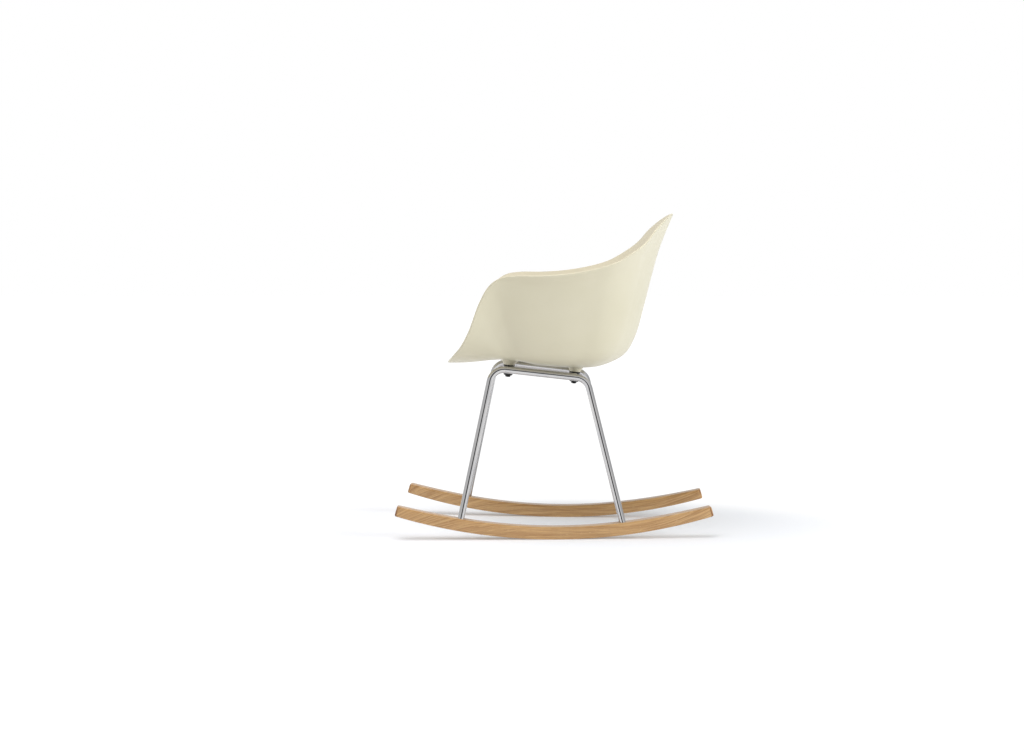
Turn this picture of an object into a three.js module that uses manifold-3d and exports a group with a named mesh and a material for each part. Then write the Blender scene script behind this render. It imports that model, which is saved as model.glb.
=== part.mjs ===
// A rocking armchair: a moulded plastic tub on a bent-tube frame that stands on two wooden rockers.
// Millimetres. +Z is up, the sitter looks along -Y and +X is the sitter's left.
// The origin is on the floor, under the middle of the two rockers.

import * as THREE from 'three';
import { mergeVertices } from 'three/addons/utils/BufferGeometryUtils.js';
import Module from 'manifold-3d';

// ---------------------------------------------------------------- driving dimensions

const TOUCH_GAP = 0.3; // kept between pieces that bear on each other

// Rockers
const ROCKER_RADIUS = 1420; // the arc that rolls on the floor
const ROCKER_REACH = 409.5; // from the origin to the lower corner of either end
const ROCKER_WIDTH = 34;
const ROCKER_DEPTH_MIDDLE = 32;
const ROCKER_DEPTH_END = 25.5;
const ROCKER_EDGE = 2.5; // rounding of the long edges
const ROCKER_OFFSET = 183; // from the chair's middle plane to the rocker's middle
const ROCKER_SPLAY = 0.0645; // radians; the rockers stand wider apart at the front
const ROCKER_CONTACT = 8.7; // along Y, where the chair at rest touches the floor

// Side frames: one tube each, from the front foot over two bends to the rear foot
const TUBE_DIAMETER = 17.5;
const TUBE_WALL = 2;
const FRAME_BEND_RADIUS = 37; // at the tube's centreline
const FRONT_FOOT = { out: 198.5, along: -239.5 };
const REAR_FOOT = { out: 171.8, along: 174.7 };
const FRONT_CORNER = { out: 134.7, along: -160 };
const REAR_CORNER = { out: 125.3, along: 83 };
const TOP_HEIGHT = 416.5; // of the top tubes' centrelines, above the origin
const TOP_FALL = 0.1125; // how far they drop for each millimetre towards the rear

// Seat ring: a closed tube between the two side frames
const RING_FRONT = -120;
const RING_REAR = 52;
const RING_CORNER_RADIUS = 22;

// Stretchers: thin rods with turned-down ends that lie against the legs
const ROD_DIAMETER = 6;
const ROD_BEND_RADIUS = 12;
const ROD_TAIL = 50;
const FRONT_ROD_HEIGHT = 325;
const REAR_ROD_HEIGHT = 307;

// Fixings between ring and seat
const FRONT_BOLT_OUT = 94;
const REAR_BOLT_OUT = 60.3;
const BOLT_DIAMETER = 6;
const BOLT_HEAD_ACROSS = 12;
const BOLT_HEAD_HEIGHT = 3;
const BOLT_DOME_HEIGHT = 1.2;
const BOLT_FLANGE_DIAMETER = 15;
const BOLT_FLANGE_HEIGHT = 1;
const SADDLE_DIAMETER = 28;
const SADDLE_RISE = 1.8; // from the ring tube's top up to the seat
const SADDLE_FLANGE_HEIGHT = 3;
const CLAMP_DIAMETER = 25; // the saddle and the cup round the ring tube
const CUP_TAPER = 1; // how much smaller the cup is at its foot, in radius
const CUP_DEPTH = 7; // below the ring tube
const INSERT_DIAMETER = 9;
const INSERT_LENGTH = 8;
const INSERT_SINK = 1; // of the insert's flange into its boss
const INSERT_FLANGE = 1; // its height, and how far it stands out all round
const BOSS_DIAMETER_LOW = 28;
const BOSS_DIAMETER_HIGH = 42;
const FRONT_BOSS_HEIGHT = 13.7; // up into the seat's wall
const REAR_BOSS_HEIGHT = 16.2;

// Feet: a threaded plug welded in each leg and a screw that comes up through the rocker
const SOCKET_DEPTH = 9;
const PLUG_LENGTH = 18;
const SCREW_DIAMETER = 6;
const SCREW_HEAD_DIAMETER = 11;
const SCREW_HEAD_HEIGHT = 3.2;
const SCREW_REACH = 14; // of the thread inside the leg
const WOOD_UNDER_LEG = { front: 13, rear: 11 }; // down to the seat of the screw's head

// Seat shell
const SHELL_THICKNESS = 5;
const SHELL_CENTRE = 20; // along Y: where the sections of the tub meet
const SHELL_BOTTOM = 436.5; // height of the middle of the wall there
const SHELL_SWELL_START = 60; // along Y: from there to the front lip the seat swells
const SHELL_FRONT_RISE = 9; // of the front lip over the seat's bottom
const SHELL_SWELL = 16; // of the seat before it falls to the front lip
const SHELL_ROUND_STEPS = 48; // round the whole rim
const SHELL_WALL_STEPS = 14; // from the middle of the seat to the rim

// The tub's rim, as points (out, along, up) from the front lip over the arm to the top of the back
const RIM = [
  [0, -280, 445.5], [70, -279, 447], [125, -274, 453.5], [176, -262, 467], [216, -240, 493],
  [244, -217, 535], [268, -188, 610], [284, -163, 651], [295, -137, 669], [302.5, -100, 675.5],
  [304.5, -33, 676], [299, 33, 681], [287, 97, 692], [275, 151, 708], [255, 191, 730],
  [218, 230, 759], [176, 257, 791.5], [122, 281, 815], [62, 300, 829.5], [0, 309, 834],
];

// Sections of the tub from the middle of the seat to the rim, by direction round the tub.
// Each pair is (share of the way out to the rim, share of the way up to the rim).
const SECTIONS = [
  { turn: -90, shape: [[0, 0], [0.2, 0], [0.38, 0.03], [0.55, 0.1], [0.67, 0.22],
    [0.75, 0.35], [0.84, 0.55], [0.92, 0.77], [1, 1]] },
  { turn: -60, shape: [[0, 0], [0.2, 0.02], [0.38, 0.06], [0.56, 0.14], [0.68, 0.26],
    [0.76, 0.4], [0.84, 0.58], [0.92, 0.79], [1, 1]] },
  { turn: -45, shape: [[0, 0], [0.2, 0], [0.4, 0.015], [0.61, 0.09], [0.71, 0.21],
    [0.785, 0.38], [0.855, 0.59], [0.925, 0.81], [1, 1]] },
  { turn: -33, shape: [[0, 0], [0.2, 0], [0.4, 0.005], [0.605, 0.09], [0.69, 0.22],
    [0.77, 0.43], [0.84, 0.66], [0.92, 0.87], [1, 1]] },
  { turn: -8, shape: [[0, 0], [0.2, 0], [0.38, 0.006], [0.573, 0.094], [0.665, 0.23],
    [0.742, 0.455], [0.808, 0.68], [0.89, 0.87], [1, 1]] },
  { turn: 45, shape: [[0, 0], [0.2, 0], [0.38, 0.004], [0.56, 0.085], [0.662, 0.215],
    [0.74, 0.42], [0.806, 0.63], [0.885, 0.82], [1, 1]] },
  { turn: 90, shape: [[0, 0], [0.2, -0.003], [0.36, 0.001], [0.555, 0.066], [0.66, 0.19],
    [0.735, 0.381], [0.803, 0.58], [0.881, 0.782], [1, 1]] },
];

// ---------------------------------------------------------------- materials

const cream = new THREE.MeshStandardMaterial({ color: 0xe6e1cb, roughness: 0.45, metalness: 0 });
const chrome = new THREE.MeshStandardMaterial({ color: 0xc9cacc, roughness: 0.12, metalness: 1 });
const zinc = new THREE.MeshStandardMaterial({ color: 0xa9abad, roughness: 0.35, metalness: 1 });
const brass = new THREE.MeshStandardMaterial({ color: 0xb5924c, roughness: 0.35, metalness: 1 });
const black = new THREE.MeshStandardMaterial({ color: 0x17181a, roughness: 0.55, metalness: 0 });
const blackSteel = new THREE.MeshStandardMaterial({ color: 0x1b1c1e, roughness: 0.4, metalness: 0.6 });
const oak = new THREE.MeshStandardMaterial({ color: 0xc49a63, roughness: 0.5, metalness: 0 });

// ---------------------------------------------------------------- solids

const TUBE_SIDES = 16;
const BORE_SIDES = 10;
const ROD_SIDES = 8;

const wasm = await Module();
wasm.setup();

const UP = new THREE.Vector3(0, 0, 1);
const vec = (x, y, z) => new THREE.Vector3(x, y, z);

function toSolid(geometry) {
  const bare = geometry.clone();
  bare.deleteAttribute('normal');
  bare.deleteAttribute('uv');
  const merged = mergeVertices(bare, 1e-4);
  return new wasm.Manifold(new wasm.Mesh({
    numProp: 3,
    vertProperties: new Float32Array(merged.attributes.position.array),
    triVerts: new Uint32Array(merged.index.array),
  }));
}

function toGeometry(solid) {
  const mesh = solid.getMesh();
  const geometry = new THREE.BufferGeometry();
  geometry.setAttribute('position', new THREE.BufferAttribute(new Float32Array(mesh.vertProperties), 3));
  geometry.setIndex(new THREE.BufferAttribute(new Uint32Array(mesh.triVerts), 1));
  geometry.computeVertexNormals();
  return geometry;
}

// A round bar or cone along an axis, from one point to another
function bar(from, to, radiusFrom, radiusTo = radiusFrom, sides = 14) {
  const along = to.clone().sub(from);
  const geometry = new THREE.CylinderGeometry(radiusTo, radiusFrom, along.length(), sides);
  geometry.rotateX(Math.PI / 2);
  geometry.applyQuaternion(new THREE.Quaternion().setFromUnitVectors(UP, along.clone().normalize()));
  const middle = from.clone().addScaledVector(along, 0.5);
  geometry.translate(middle.x, middle.y, middle.z);
  return geometry;
}

// A bent tube's route: straight runs joined by round bends, with stations only where it turns
class BentRoute extends THREE.Curve {
  constructor(corners, bendRadius, closed = false, stepsInBend = 6) {
    super();
    this.stations = [];
    const count = corners.length;
    corners.forEach((corner, i) => {
      if (!closed && (i === 0 || i === count - 1)) {
        const other = corners[i === 0 ? 1 : count - 2];
        const tangent = i === 0 ? other.clone().sub(corner) : corner.clone().sub(other);
        this.stations.push({ point: corner.clone(), tangent: tangent.normalize() });
        return;
      }
      const arriving = corner.clone().sub(corners[(i + count - 1) % count]).normalize();
      const leaving = corners[(i + 1) % count].clone().sub(corner).normalize();
      this.addBend(corner, arriving, leaving, bendRadius, stepsInBend);
    });
    if (closed) this.stations.push(this.stations[0]);
    this.steps = this.stations.length - 1;
  }

  addBend(corner, arriving, leaving, bendRadius, stepsInBend) {
    const turn = arriving.angleTo(leaving);
    const setback = bendRadius * Math.tan(turn / 2);
    const start = corner.clone().addScaledVector(arriving, -setback);
    const axis = arriving.clone().cross(leaving).normalize();
    const inward = axis.clone().cross(arriving);
    const middle = start.clone().addScaledVector(inward, bendRadius);
    for (let step = 0; step <= stepsInBend; step += 1) {
      const angle = turn * step / stepsInBend;
      this.stations.push({
        point: middle.clone().add(inward.clone().multiplyScalar(-bendRadius).applyAxisAngle(axis, angle)),
        tangent: arriving.clone().applyAxisAngle(axis, angle),
      });
    }
  }

  station(u) {
    return this.stations[Math.round(u * this.steps)];
  }

  getPointAt(u, target = new THREE.Vector3()) {
    return target.copy(this.station(u).point);
  }

  getTangentAt(u, target = new THREE.Vector3()) {
    return target.copy(this.station(u).tangent);
  }
}

function circlePoints(radius, sides) {
  return Array.from({ length: sides }, (_, i) => {
    const angle = 2 * Math.PI * i / sides;
    return new THREE.Vector2(radius * Math.cos(angle), radius * Math.sin(angle));
  });
}

// A tube or rod with flat open ends; without a bore it is solid
function bentTube(route, radius, sides, boreRadius = 0) {
  const section = new THREE.Shape(circlePoints(radius, sides));
  if (boreRadius > 0) section.holes.push(new THREE.Path(circlePoints(boreRadius, BORE_SIDES)));
  const settings = { steps: route.steps, extrudePath: route, bevelEnabled: false };
  return new THREE.ExtrudeGeometry(section, settings);
}

const group = new THREE.Group();

function addMesh(name, geometry, material) {
  const mesh = new THREE.Mesh(geometry, material);
  mesh.name = name;
  group.add(mesh);
}

const SIDES = [{ name: 'left', sign: 1 }, { name: 'right', sign: -1 }];

// ---------------------------------------------------------------- rockers

// Halfway round a rounded edge, this share of its radius is left between the edge and either face
const ROUND_MIDDLE = 1 - Math.SQRT1_2;

const topHeightAt = (along) => TOP_HEIGHT - TOP_FALL * along;

// Side outline of a rocker: a long arc under, a flatter arc over, ends square to the arc.
// The arc's middle hangs over the contact point, so the ends lie at slightly different angles.
// The chords of the arc are laid out from there, and the one at the contact lies flat on the floor.
const CHORD = THREE.MathUtils.degToRad(1.15);
const FRONT_END = Math.asin((-ROCKER_REACH - ROCKER_CONTACT) / ROCKER_RADIUS);
const REAR_END = Math.asin((ROCKER_REACH - ROCKER_CONTACT) / ROCKER_RADIUS);
const chordLift = ROCKER_RADIUS * (1 - Math.cos(CHORD / 2));

function rockerDepthAt(angle) {
  const share = (2 * angle - FRONT_END - REAR_END) / (REAR_END - FRONT_END);
  return ROCKER_DEPTH_MIDDLE + (ROCKER_DEPTH_END - ROCKER_DEPTH_MIDDLE) * share ** 4;
}

function rockerPoint(angle, lift) {
  const radius = ROCKER_RADIUS - lift;
  return new THREE.Vector2(ROCKER_CONTACT + radius * Math.sin(angle),
    ROCKER_RADIUS - radius * Math.cos(angle) - chordLift);
}

function rockerOutline() {
  const angles = [FRONT_END];
  const first = CHORD * (Math.ceil(FRONT_END / CHORD) + 0.5);
  for (let angle = first; angle < REAR_END - CHORD / 2; angle += CHORD) angles.push(angle);
  angles.push(REAR_END);
  const under = angles.map((angle) => rockerPoint(angle, 0));
  const over = angles.filter((_, i) => i % 2 === 0 || i === angles.length - 1)
    .map((angle) => rockerPoint(angle, rockerDepthAt(angle)));
  return [...under, ...over.reverse()];
}

// The outline is drawn in Y and Z and drawn out along X. The long edges are rounded by pulling
// the outer slices of the outline inwards.
function rockerBlank() {
  const outline = rockerOutline();
  const bevel = ROCKER_EDGE * ROUND_MIDDLE;
  const rows = [
    { x: -ROCKER_WIDTH / 2, inset: ROCKER_EDGE },
    { x: -ROCKER_WIDTH / 2 + bevel, inset: bevel },
    { x: -ROCKER_WIDTH / 2 + ROCKER_EDGE, inset: 0 },
    { x: ROCKER_WIDTH / 2 - ROCKER_EDGE, inset: 0 },
    { x: ROCKER_WIDTH / 2 - bevel, inset: bevel },
    { x: ROCKER_WIDTH / 2, inset: ROCKER_EDGE },
  ];
  const count = outline.length;
  const inwardAt = (i) => {
    const before = outline[(i + count - 1) % count];
    const after = outline[(i + 1) % count];
    const here = outline[i];
    const a = here.clone().sub(before).normalize();
    const b = after.clone().sub(here).normalize();
    const square = new THREE.Vector2(-a.y, a.x);
    const bisector = new THREE.Vector2(-(a.y + b.y), a.x + b.x).normalize();
    return bisector.divideScalar(bisector.dot(square));
  };
  const positions = rows.flatMap(({ x, inset }) => outline.flatMap((point, i) => {
    const moved = point.clone().addScaledVector(inwardAt(i), inset);
    return [x, moved.x, moved.y];
  }));
  const indices = [];
  for (let row = 0; row < rows.length - 1; row += 1) {
    for (let i = 0; i < count; i += 1) {
      const a = row * count + i;
      const b = row * count + (i + 1) % count;
      indices.push(a, b, a + count, b, b + count, a + count);
    }
  }
  const caps = THREE.ShapeUtils.triangulateShape(outline, []);
  const last = (rows.length - 1) * count;
  caps.forEach(([a, b, c]) => {
    indices.push(a, c, b);
    indices.push(last + a, last + b, last + c);
  });
  const geometry = new THREE.BufferGeometry();
  geometry.setAttribute('position', new THREE.Float32BufferAttribute(positions, 3));
  geometry.setIndex(indices);
  return geometry;
}

// ---------------------------------------------------------------- legs and their feet

// Where a leg's axis meets the top of its rocker
function footPoint(foot) {
  const angle = Math.asin((foot.along - ROCKER_CONTACT) / ROCKER_RADIUS);
  return vec(foot.out, foot.along, rockerPoint(angle, rockerDepthAt(angle)).y);
}

function cornerPoint(corner) {
  return vec(corner.out, corner.along, topHeightAt(corner.along));
}

function makeLeg(name, footPlace, cornerPlace) {
  const foot = footPoint(footPlace);
  const corner = cornerPoint(cornerPlace);
  const axis = corner.clone().sub(foot).normalize();
  const end = foot.clone().addScaledVector(axis, TOUCH_GAP - SOCKET_DEPTH);
  return { name, foot, corner, axis, end, wood: WOOD_UNDER_LEG[name] };
}

const FRONT_LEG = makeLeg('front', FRONT_FOOT, FRONT_CORNER);
const REAR_LEG = makeLeg('rear', REAR_FOOT, REAR_CORNER);
const LEGS = [FRONT_LEG, REAR_LEG];

const mirrored = (point, sign) => vec(point.x * sign, point.y, point.z);

// A point on a leg's axis, measured from the leg's lower end
function legPlace(leg, sign, distance) {
  return mirrored(leg.end.clone().addScaledVector(leg.axis, distance), sign);
}

function rocker(sign) {
  const blank = rockerBlank();
  blank.rotateZ(sign * ROCKER_SPLAY);
  blank.translate(sign * ROCKER_OFFSET, 0, 0);
  let solid = toSolid(blank);
  for (const leg of LEGS) {
    const below = legPlace(leg, sign, -2 * ROCKER_DEPTH_MIDDLE);
    const socket = bar(legPlace(leg, sign, -TOUCH_GAP), legPlace(leg, sign, 3 * SOCKET_DEPTH),
      TUBE_DIAMETER / 2 + TOUCH_GAP);
    const screwHole = bar(below, legPlace(leg, sign, 1), SCREW_DIAMETER / 2 + TOUCH_GAP);
    const recess = bar(below, legPlace(leg, sign, -leg.wood), SCREW_HEAD_DIAMETER / 2 + 1);
    solid = solid.subtract(toSolid(socket)).subtract(toSolid(screwHole)).subtract(toSolid(recess));
  }
  return toGeometry(solid);
}

function sideFrame(sign) {
  const corners = [FRONT_LEG.end, FRONT_LEG.corner, REAR_LEG.corner, REAR_LEG.end]
    .map((point) => mirrored(point, sign));
  const route = new BentRoute(corners, FRAME_BEND_RADIUS);
  return bentTube(route, TUBE_DIAMETER / 2, TUBE_SIDES, TUBE_DIAMETER / 2 - TUBE_WALL);
}

function legPlug(leg, sign) {
  const radius = (TUBE_DIAMETER / 2 - TUBE_WALL) * Math.cos(Math.PI / BORE_SIDES) - TOUCH_GAP;
  const body = bar(legPlace(leg, sign, 0), legPlace(leg, sign, PLUG_LENGTH), radius);
  const threadRadius = SCREW_DIAMETER / 2 + TOUCH_GAP;
  const thread = bar(legPlace(leg, sign, -1), legPlace(leg, sign, SCREW_REACH), threadRadius);
  return toGeometry(toSolid(body).subtract(toSolid(thread)));
}

// A flat-headed screw with a hexagon socket, turned about its own axis and then set in line with the leg
function rockerScrew(leg, sign) {
  const shank = SCREW_DIAMETER / 2;
  const head = SCREW_HEAD_DIAMETER / 2;
  const key = 2.5;
  const edge = 0.6;
  const underHead = -leg.wood - TOUCH_GAP;
  const face = underHead - SCREW_HEAD_HEIGHT;
  const tip = SCREW_REACH - TOUCH_GAP;
  const profile = [
    [0, underHead - edge], [key, underHead - edge], [key, face], [head - edge, face],
    [head, face + edge], [head, underHead], [shank, underHead], [shank, tip - edge],
    [shank - edge, tip], [0, tip],
  ].map(([radius, height]) => new THREE.Vector2(radius, height));
  const geometry = new THREE.LatheGeometry(profile, 12);
  geometry.rotateX(Math.PI / 2);
  const axis = mirrored(leg.axis, sign);
  geometry.applyQuaternion(new THREE.Quaternion().setFromUnitVectors(UP, axis));
  const end = legPlace(leg, sign, 0);
  geometry.translate(end.x, end.y, end.z);
  return geometry;
}

// ---------------------------------------------------------------- seat ring

// The ring's long sides lie against the inner sides of the top tubes
function ringOutAt(along) {
  const share = (along - FRONT_CORNER.along) / (REAR_CORNER.along - FRONT_CORNER.along);
  const topTube = FRONT_CORNER.out + share * (REAR_CORNER.out - FRONT_CORNER.out);
  return topTube - TUBE_DIAMETER - TOUCH_GAP;
}

const ringCorners = [
  [RING_FRONT, 1], [RING_REAR, 1], [RING_REAR, -1], [RING_FRONT, -1],
].map(([along, sign]) => vec(sign * ringOutAt(along), along, topHeightAt(along)));

const ringUp = vec(0, TOP_FALL, 1).normalize();

const BOLTS = ['front', 'rear'].flatMap((end) => SIDES.map((side) => {
  const along = end === 'front' ? RING_FRONT : RING_REAR;
  const out = end === 'front' ? FRONT_BOLT_OUT : REAR_BOLT_OUT;
  const bossHeight = end === 'front' ? FRONT_BOSS_HEIGHT : REAR_BOSS_HEIGHT;
  return { name: `${end}_${side.name}`, bossHeight, at: vec(side.sign * out, along, topHeightAt(along)) };
}));

// A point on a bolt's axis, measured up from the ring tube's centreline
const boltPlace = (place, height) => place.at.clone().addScaledVector(ringUp, height);

function closedTube(route, radius, sides) {
  return toSolid(new THREE.TubeGeometry(route, route.steps, radius, sides, true));
}

const ringRoute = new BentRoute(ringCorners, RING_CORNER_RADIUS, true, 5);

const tubeRadius = TUBE_DIAMETER / 2;
const boltRadius = BOLT_DIAMETER / 2;

function boltHole(place) {
  const low = boltPlace(place, -TUBE_DIAMETER);
  const high = boltPlace(place, 2 * TUBE_DIAMETER);
  return toSolid(bar(low, high, boltRadius + TOUCH_GAP));
}

function seatRing() {
  const bore = closedTube(ringRoute, tubeRadius - TUBE_WALL, BORE_SIDES);
  const hollow = closedTube(ringRoute, tubeRadius, TUBE_SIDES).subtract(bore);
  return toGeometry(BOLTS.reduce((solid, place) => solid.subtract(boltHole(place)), hollow));
}

// ---------------------------------------------------------------- fixings under the seat

const ringClearance = closedTube(ringRoute, tubeRadius + TOUCH_GAP, TUBE_SIDES);

// The saddle sits over the ring tube and carries the seat on a thin flange
function saddle(place) {
  const top = tubeRadius + SADDLE_RISE;
  const at = (height) => boltPlace(place, height);
  const body = toSolid(bar(at(TOUCH_GAP), at(top), CLAMP_DIAMETER / 2));
  const flange = toSolid(bar(at(top - SADDLE_FLANGE_HEIGHT), at(top), SADDLE_DIAMETER / 2));
  return toGeometry(body.add(flange).subtract(ringClearance).subtract(boltHole(place)));
}

// The cup closes round the ring tube from below
function cup(place) {
  const body = bar(boltPlace(place, -tubeRadius - CUP_DEPTH), boltPlace(place, 0),
    CLAMP_DIAMETER / 2 - CUP_TAPER, CLAMP_DIAMETER / 2);
  return toGeometry(toSolid(body).subtract(ringClearance).subtract(boltHole(place)));
}

const bossLow = tubeRadius + SADDLE_RISE + TOUCH_GAP;
const insertLow = bossLow + INSERT_SINK;
const insertHigh = insertLow + INSERT_LENGTH;

// A domed hexagon head with a round flange; the shank goes up through the ring tube into the insert
function bolt(place) {
  const at = (height) => boltPlace(place, height);
  const seat = -tubeRadius - CUP_DEPTH - TOUCH_GAP;
  const flangeLow = seat - BOLT_FLANGE_HEIGHT;
  const headLow = flangeLow - BOLT_HEAD_HEIGHT;
  const headRadius = BOLT_HEAD_ACROSS / 2 / Math.cos(Math.PI / 6);
  const bite = 0.5; // how far the bolt's own sections run into each other
  const pieces = [
    bar(at(seat - bite), at(insertHigh - bite), boltRadius),
    bar(at(flangeLow), at(seat), BOLT_FLANGE_DIAMETER / 2),
    bar(at(headLow), at(flangeLow + bite), headRadius, headRadius, 6),
    bar(at(headLow - BOLT_DOME_HEIGHT), at(headLow + bite), headRadius / 3, headRadius - bite, 12),
  ];
  return toGeometry(pieces.map(toSolid).reduce((all, one) => all.add(one)));
}

function insert(place) {
  const body = bar(boltPlace(place, insertLow), boltPlace(place, insertHigh), INSERT_DIAMETER / 2);
  const flange = bar(boltPlace(place, insertLow), boltPlace(place, insertLow + INSERT_FLANGE),
    INSERT_DIAMETER / 2 + INSERT_FLANGE);
  return toGeometry(toSolid(body).add(toSolid(flange)).subtract(boltHole(place)));
}

// ---------------------------------------------------------------- stretchers

// A rod spans between two legs and its turned-down tails lie along the legs' inner sides
function stretcher(leg, height) {
  const share = (height - leg.foot.z) / (leg.corner.z - leg.foot.z);
  const onLeg = leg.foot.clone().lerp(leg.corner, share);
  const acrossLeg = vec(-1, 0, 0).addScaledVector(leg.axis, leg.axis.x).normalize();
  const reach = tubeRadius + ROD_DIAMETER / 2 + TOUCH_GAP;
  const shoulder = onLeg.clone().addScaledVector(acrossLeg, reach);
  const tail = shoulder.clone().addScaledVector(leg.axis, -ROD_TAIL);
  const corners = [tail, shoulder, mirrored(shoulder, -1), mirrored(tail, -1)];
  return bentTube(new BentRoute(corners, ROD_BEND_RADIUS), ROD_DIAMETER / 2, ROD_SIDES);
}

// ---------------------------------------------------------------- seat shell

const rimCurve = new THREE.CatmullRomCurve3(
  [...RIM, ...RIM.slice(1, -1).reverse().map(([out, along, up]) => [-out, along, up])]
    .map(([out, along, up]) => vec(out, along, up)), true, 'centripetal');

// The section at a direction, blended smoothly between the two nearest named sections
function sectionAt(turn) {
  const next = Math.max(1, SECTIONS.findIndex((section) => section.turn >= turn));
  const low = SECTIONS[next - 1];
  const high = SECTIONS[next];
  const share = (turn - low.turn) / (high.turn - low.turn);
  const before = SECTIONS[Math.max(next - 2, 0)];
  const after = SECTIONS[Math.min(next + 1, SECTIONS.length - 1)];
  return low.shape.map((_, i) => {
    const curve = new THREE.SplineCurve([before, low, high, after]
      .map((section) => new THREE.Vector2(section.shape[i][0], section.shape[i][1])));
    return curve.getPoint((1 + share) / 3);
  });
}

// Height of the seat's floor over its lowest part: it swells towards the front and falls again to the lip
function floorRise(along) {
  const share = Math.max(0, (SHELL_SWELL_START - along) / (SHELL_SWELL_START - RIM[0][1]));
  return SHELL_FRONT_RISE * share ** 2 + SHELL_SWELL * Math.sin(Math.PI * share ** 1.25) ** 2;
}

// Points in the middle of the tub's wall, from the middle of the seat out to one rim point
function ribAt(rim) {
  const turn = THREE.MathUtils.radToDeg(Math.atan2(rim.y - SHELL_CENTRE, Math.abs(rim.x)));
  const curve = new THREE.SplineCurve(sectionAt(turn));
  return Array.from({ length: SHELL_WALL_STEPS + 1 }, (_, i) => {
    const { x: out, y: up } = curve.getPoint(i / SHELL_WALL_STEPS);
    const along = SHELL_CENTRE + (rim.y - SHELL_CENTRE) * out;
    const height = floorRise(along) * (1 - up) + (rim.z - SHELL_BOTTOM) * up;
    return vec(rim.x * out, along, SHELL_BOTTOM + height);
  });
}

// The tub's two skins lie half a wall's thickness either side of the ribs and join round the rim
function shellSkin() {
  const ribs = rimCurve.getSpacedPoints(SHELL_ROUND_STEPS).slice(0, SHELL_ROUND_STEPS).map(ribAt);
  const count = ribs.length;
  const middle = [ribs[0][0], ...ribs.flatMap((rib) => rib.slice(1))];
  const index = (rib, step) => (step === 0 ? 0 : 1 + (rib % count) * SHELL_WALL_STEPS + step - 1);
  const faces = [];
  for (let rib = 0; rib < count; rib += 1) {
    faces.push([0, index(rib + 1, 1), index(rib, 1)]);
    for (let step = 1; step < SHELL_WALL_STEPS; step += 1) {
      const [a, b] = [index(rib, step), index(rib + 1, step)];
      const [c, d] = [index(rib + 1, step + 1), index(rib, step + 1)];
      faces.push([a, b, c], [a, c, d]);
    }
  }
  const sheet = new THREE.BufferGeometry();
  sheet.setAttribute('position', new THREE.Float32BufferAttribute(middle.flatMap((p) => p.toArray()), 3));
  sheet.setIndex(faces.flat());
  sheet.computeVertexNormals();
  const normals = sheet.attributes.normal;
  const skin = (distance) => middle.flatMap((point, i) => point.clone()
    .addScaledVector(vec(normals.getX(i), normals.getY(i), normals.getZ(i)), distance).toArray());
  const upper = middle.length;
  const indices = faces.flatMap(([a, b, c]) => [a, b, c, a + upper, c + upper, b + upper]);
  for (let rib = 0; rib < count; rib += 1) {
    const a = index(rib, SHELL_WALL_STEPS);
    const b = index(rib + 1, SHELL_WALL_STEPS);
    indices.push(a, b, b + upper, a, b + upper, a + upper);
  }
  const geometry = new THREE.BufferGeometry();
  const positions = [...skin(SHELL_THICKNESS / 2), ...skin(-SHELL_THICKNESS / 2)];
  geometry.setAttribute('position', new THREE.Float32BufferAttribute(positions, 3));
  geometry.setIndex(indices);
  return geometry;
}

// A boss tapers from the seat down to its saddle and has a blind hole for the insert and the bolt
function seatShell() {
  let solid = toSolid(shellSkin());
  for (const place of BOLTS) {
    const at = (height) => boltPlace(place, height);
    const radius = INSERT_DIAMETER / 2 + TOUCH_GAP;
    const bossHigh = bossLow + place.bossHeight;
    const boss = bar(at(bossLow), at(bossHigh), BOSS_DIAMETER_LOW / 2, BOSS_DIAMETER_HIGH / 2);
    const bore = bar(at(bossLow - 1), at(insertHigh + TOUCH_GAP), radius);
    const mouth = bar(at(bossLow - 1), at(insertLow + INSERT_FLANGE + TOUCH_GAP), radius + INSERT_FLANGE);
    solid = solid.add(toSolid(boss)).subtract(toSolid(bore)).subtract(toSolid(mouth));
  }
  return toGeometry(solid);
}

// ---------------------------------------------------------------- assembly

addMesh('seat_shell', seatShell(), cream);
addMesh('seat_ring', seatRing(), chrome);
addMesh('stretcher_front', stretcher(FRONT_LEG, FRONT_ROD_HEIGHT), chrome);
addMesh('stretcher_rear', stretcher(REAR_LEG, REAR_ROD_HEIGHT), chrome);

for (const place of BOLTS) {
  addMesh(`saddle_${place.name}`, saddle(place), black);
  addMesh(`cup_${place.name}`, cup(place), black);
  addMesh(`bolt_${place.name}`, bolt(place), blackSteel);
  addMesh(`insert_${place.name}`, insert(place), brass);
}

for (const { name, sign } of SIDES) {
  addMesh(`rocker_${name}`, rocker(sign), oak);
  addMesh(`side_frame_${name}`, sideFrame(sign), chrome);
  for (const leg of LEGS) {
    addMesh(`leg_plug_${leg.name}_${name}`, legPlug(leg, sign), zinc);
    addMesh(`rocker_screw_${leg.name}_${name}`, rockerScrew(leg, sign), zinc);
  }
}

export default group;
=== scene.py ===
"""Looks of a rocking tub chair: cream plastic shell, chromed steel frame and oak rockers.

Lengths in the driving values are in millimetres, in the frame of the CAD part:
+Z up, the chair faces -Y, the sitter's left is +X. Meshes are made in metres.
"""
import math

import bmesh
import bpy
import numpy as np
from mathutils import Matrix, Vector
from mathutils.bvhtree import BVHTree


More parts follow.
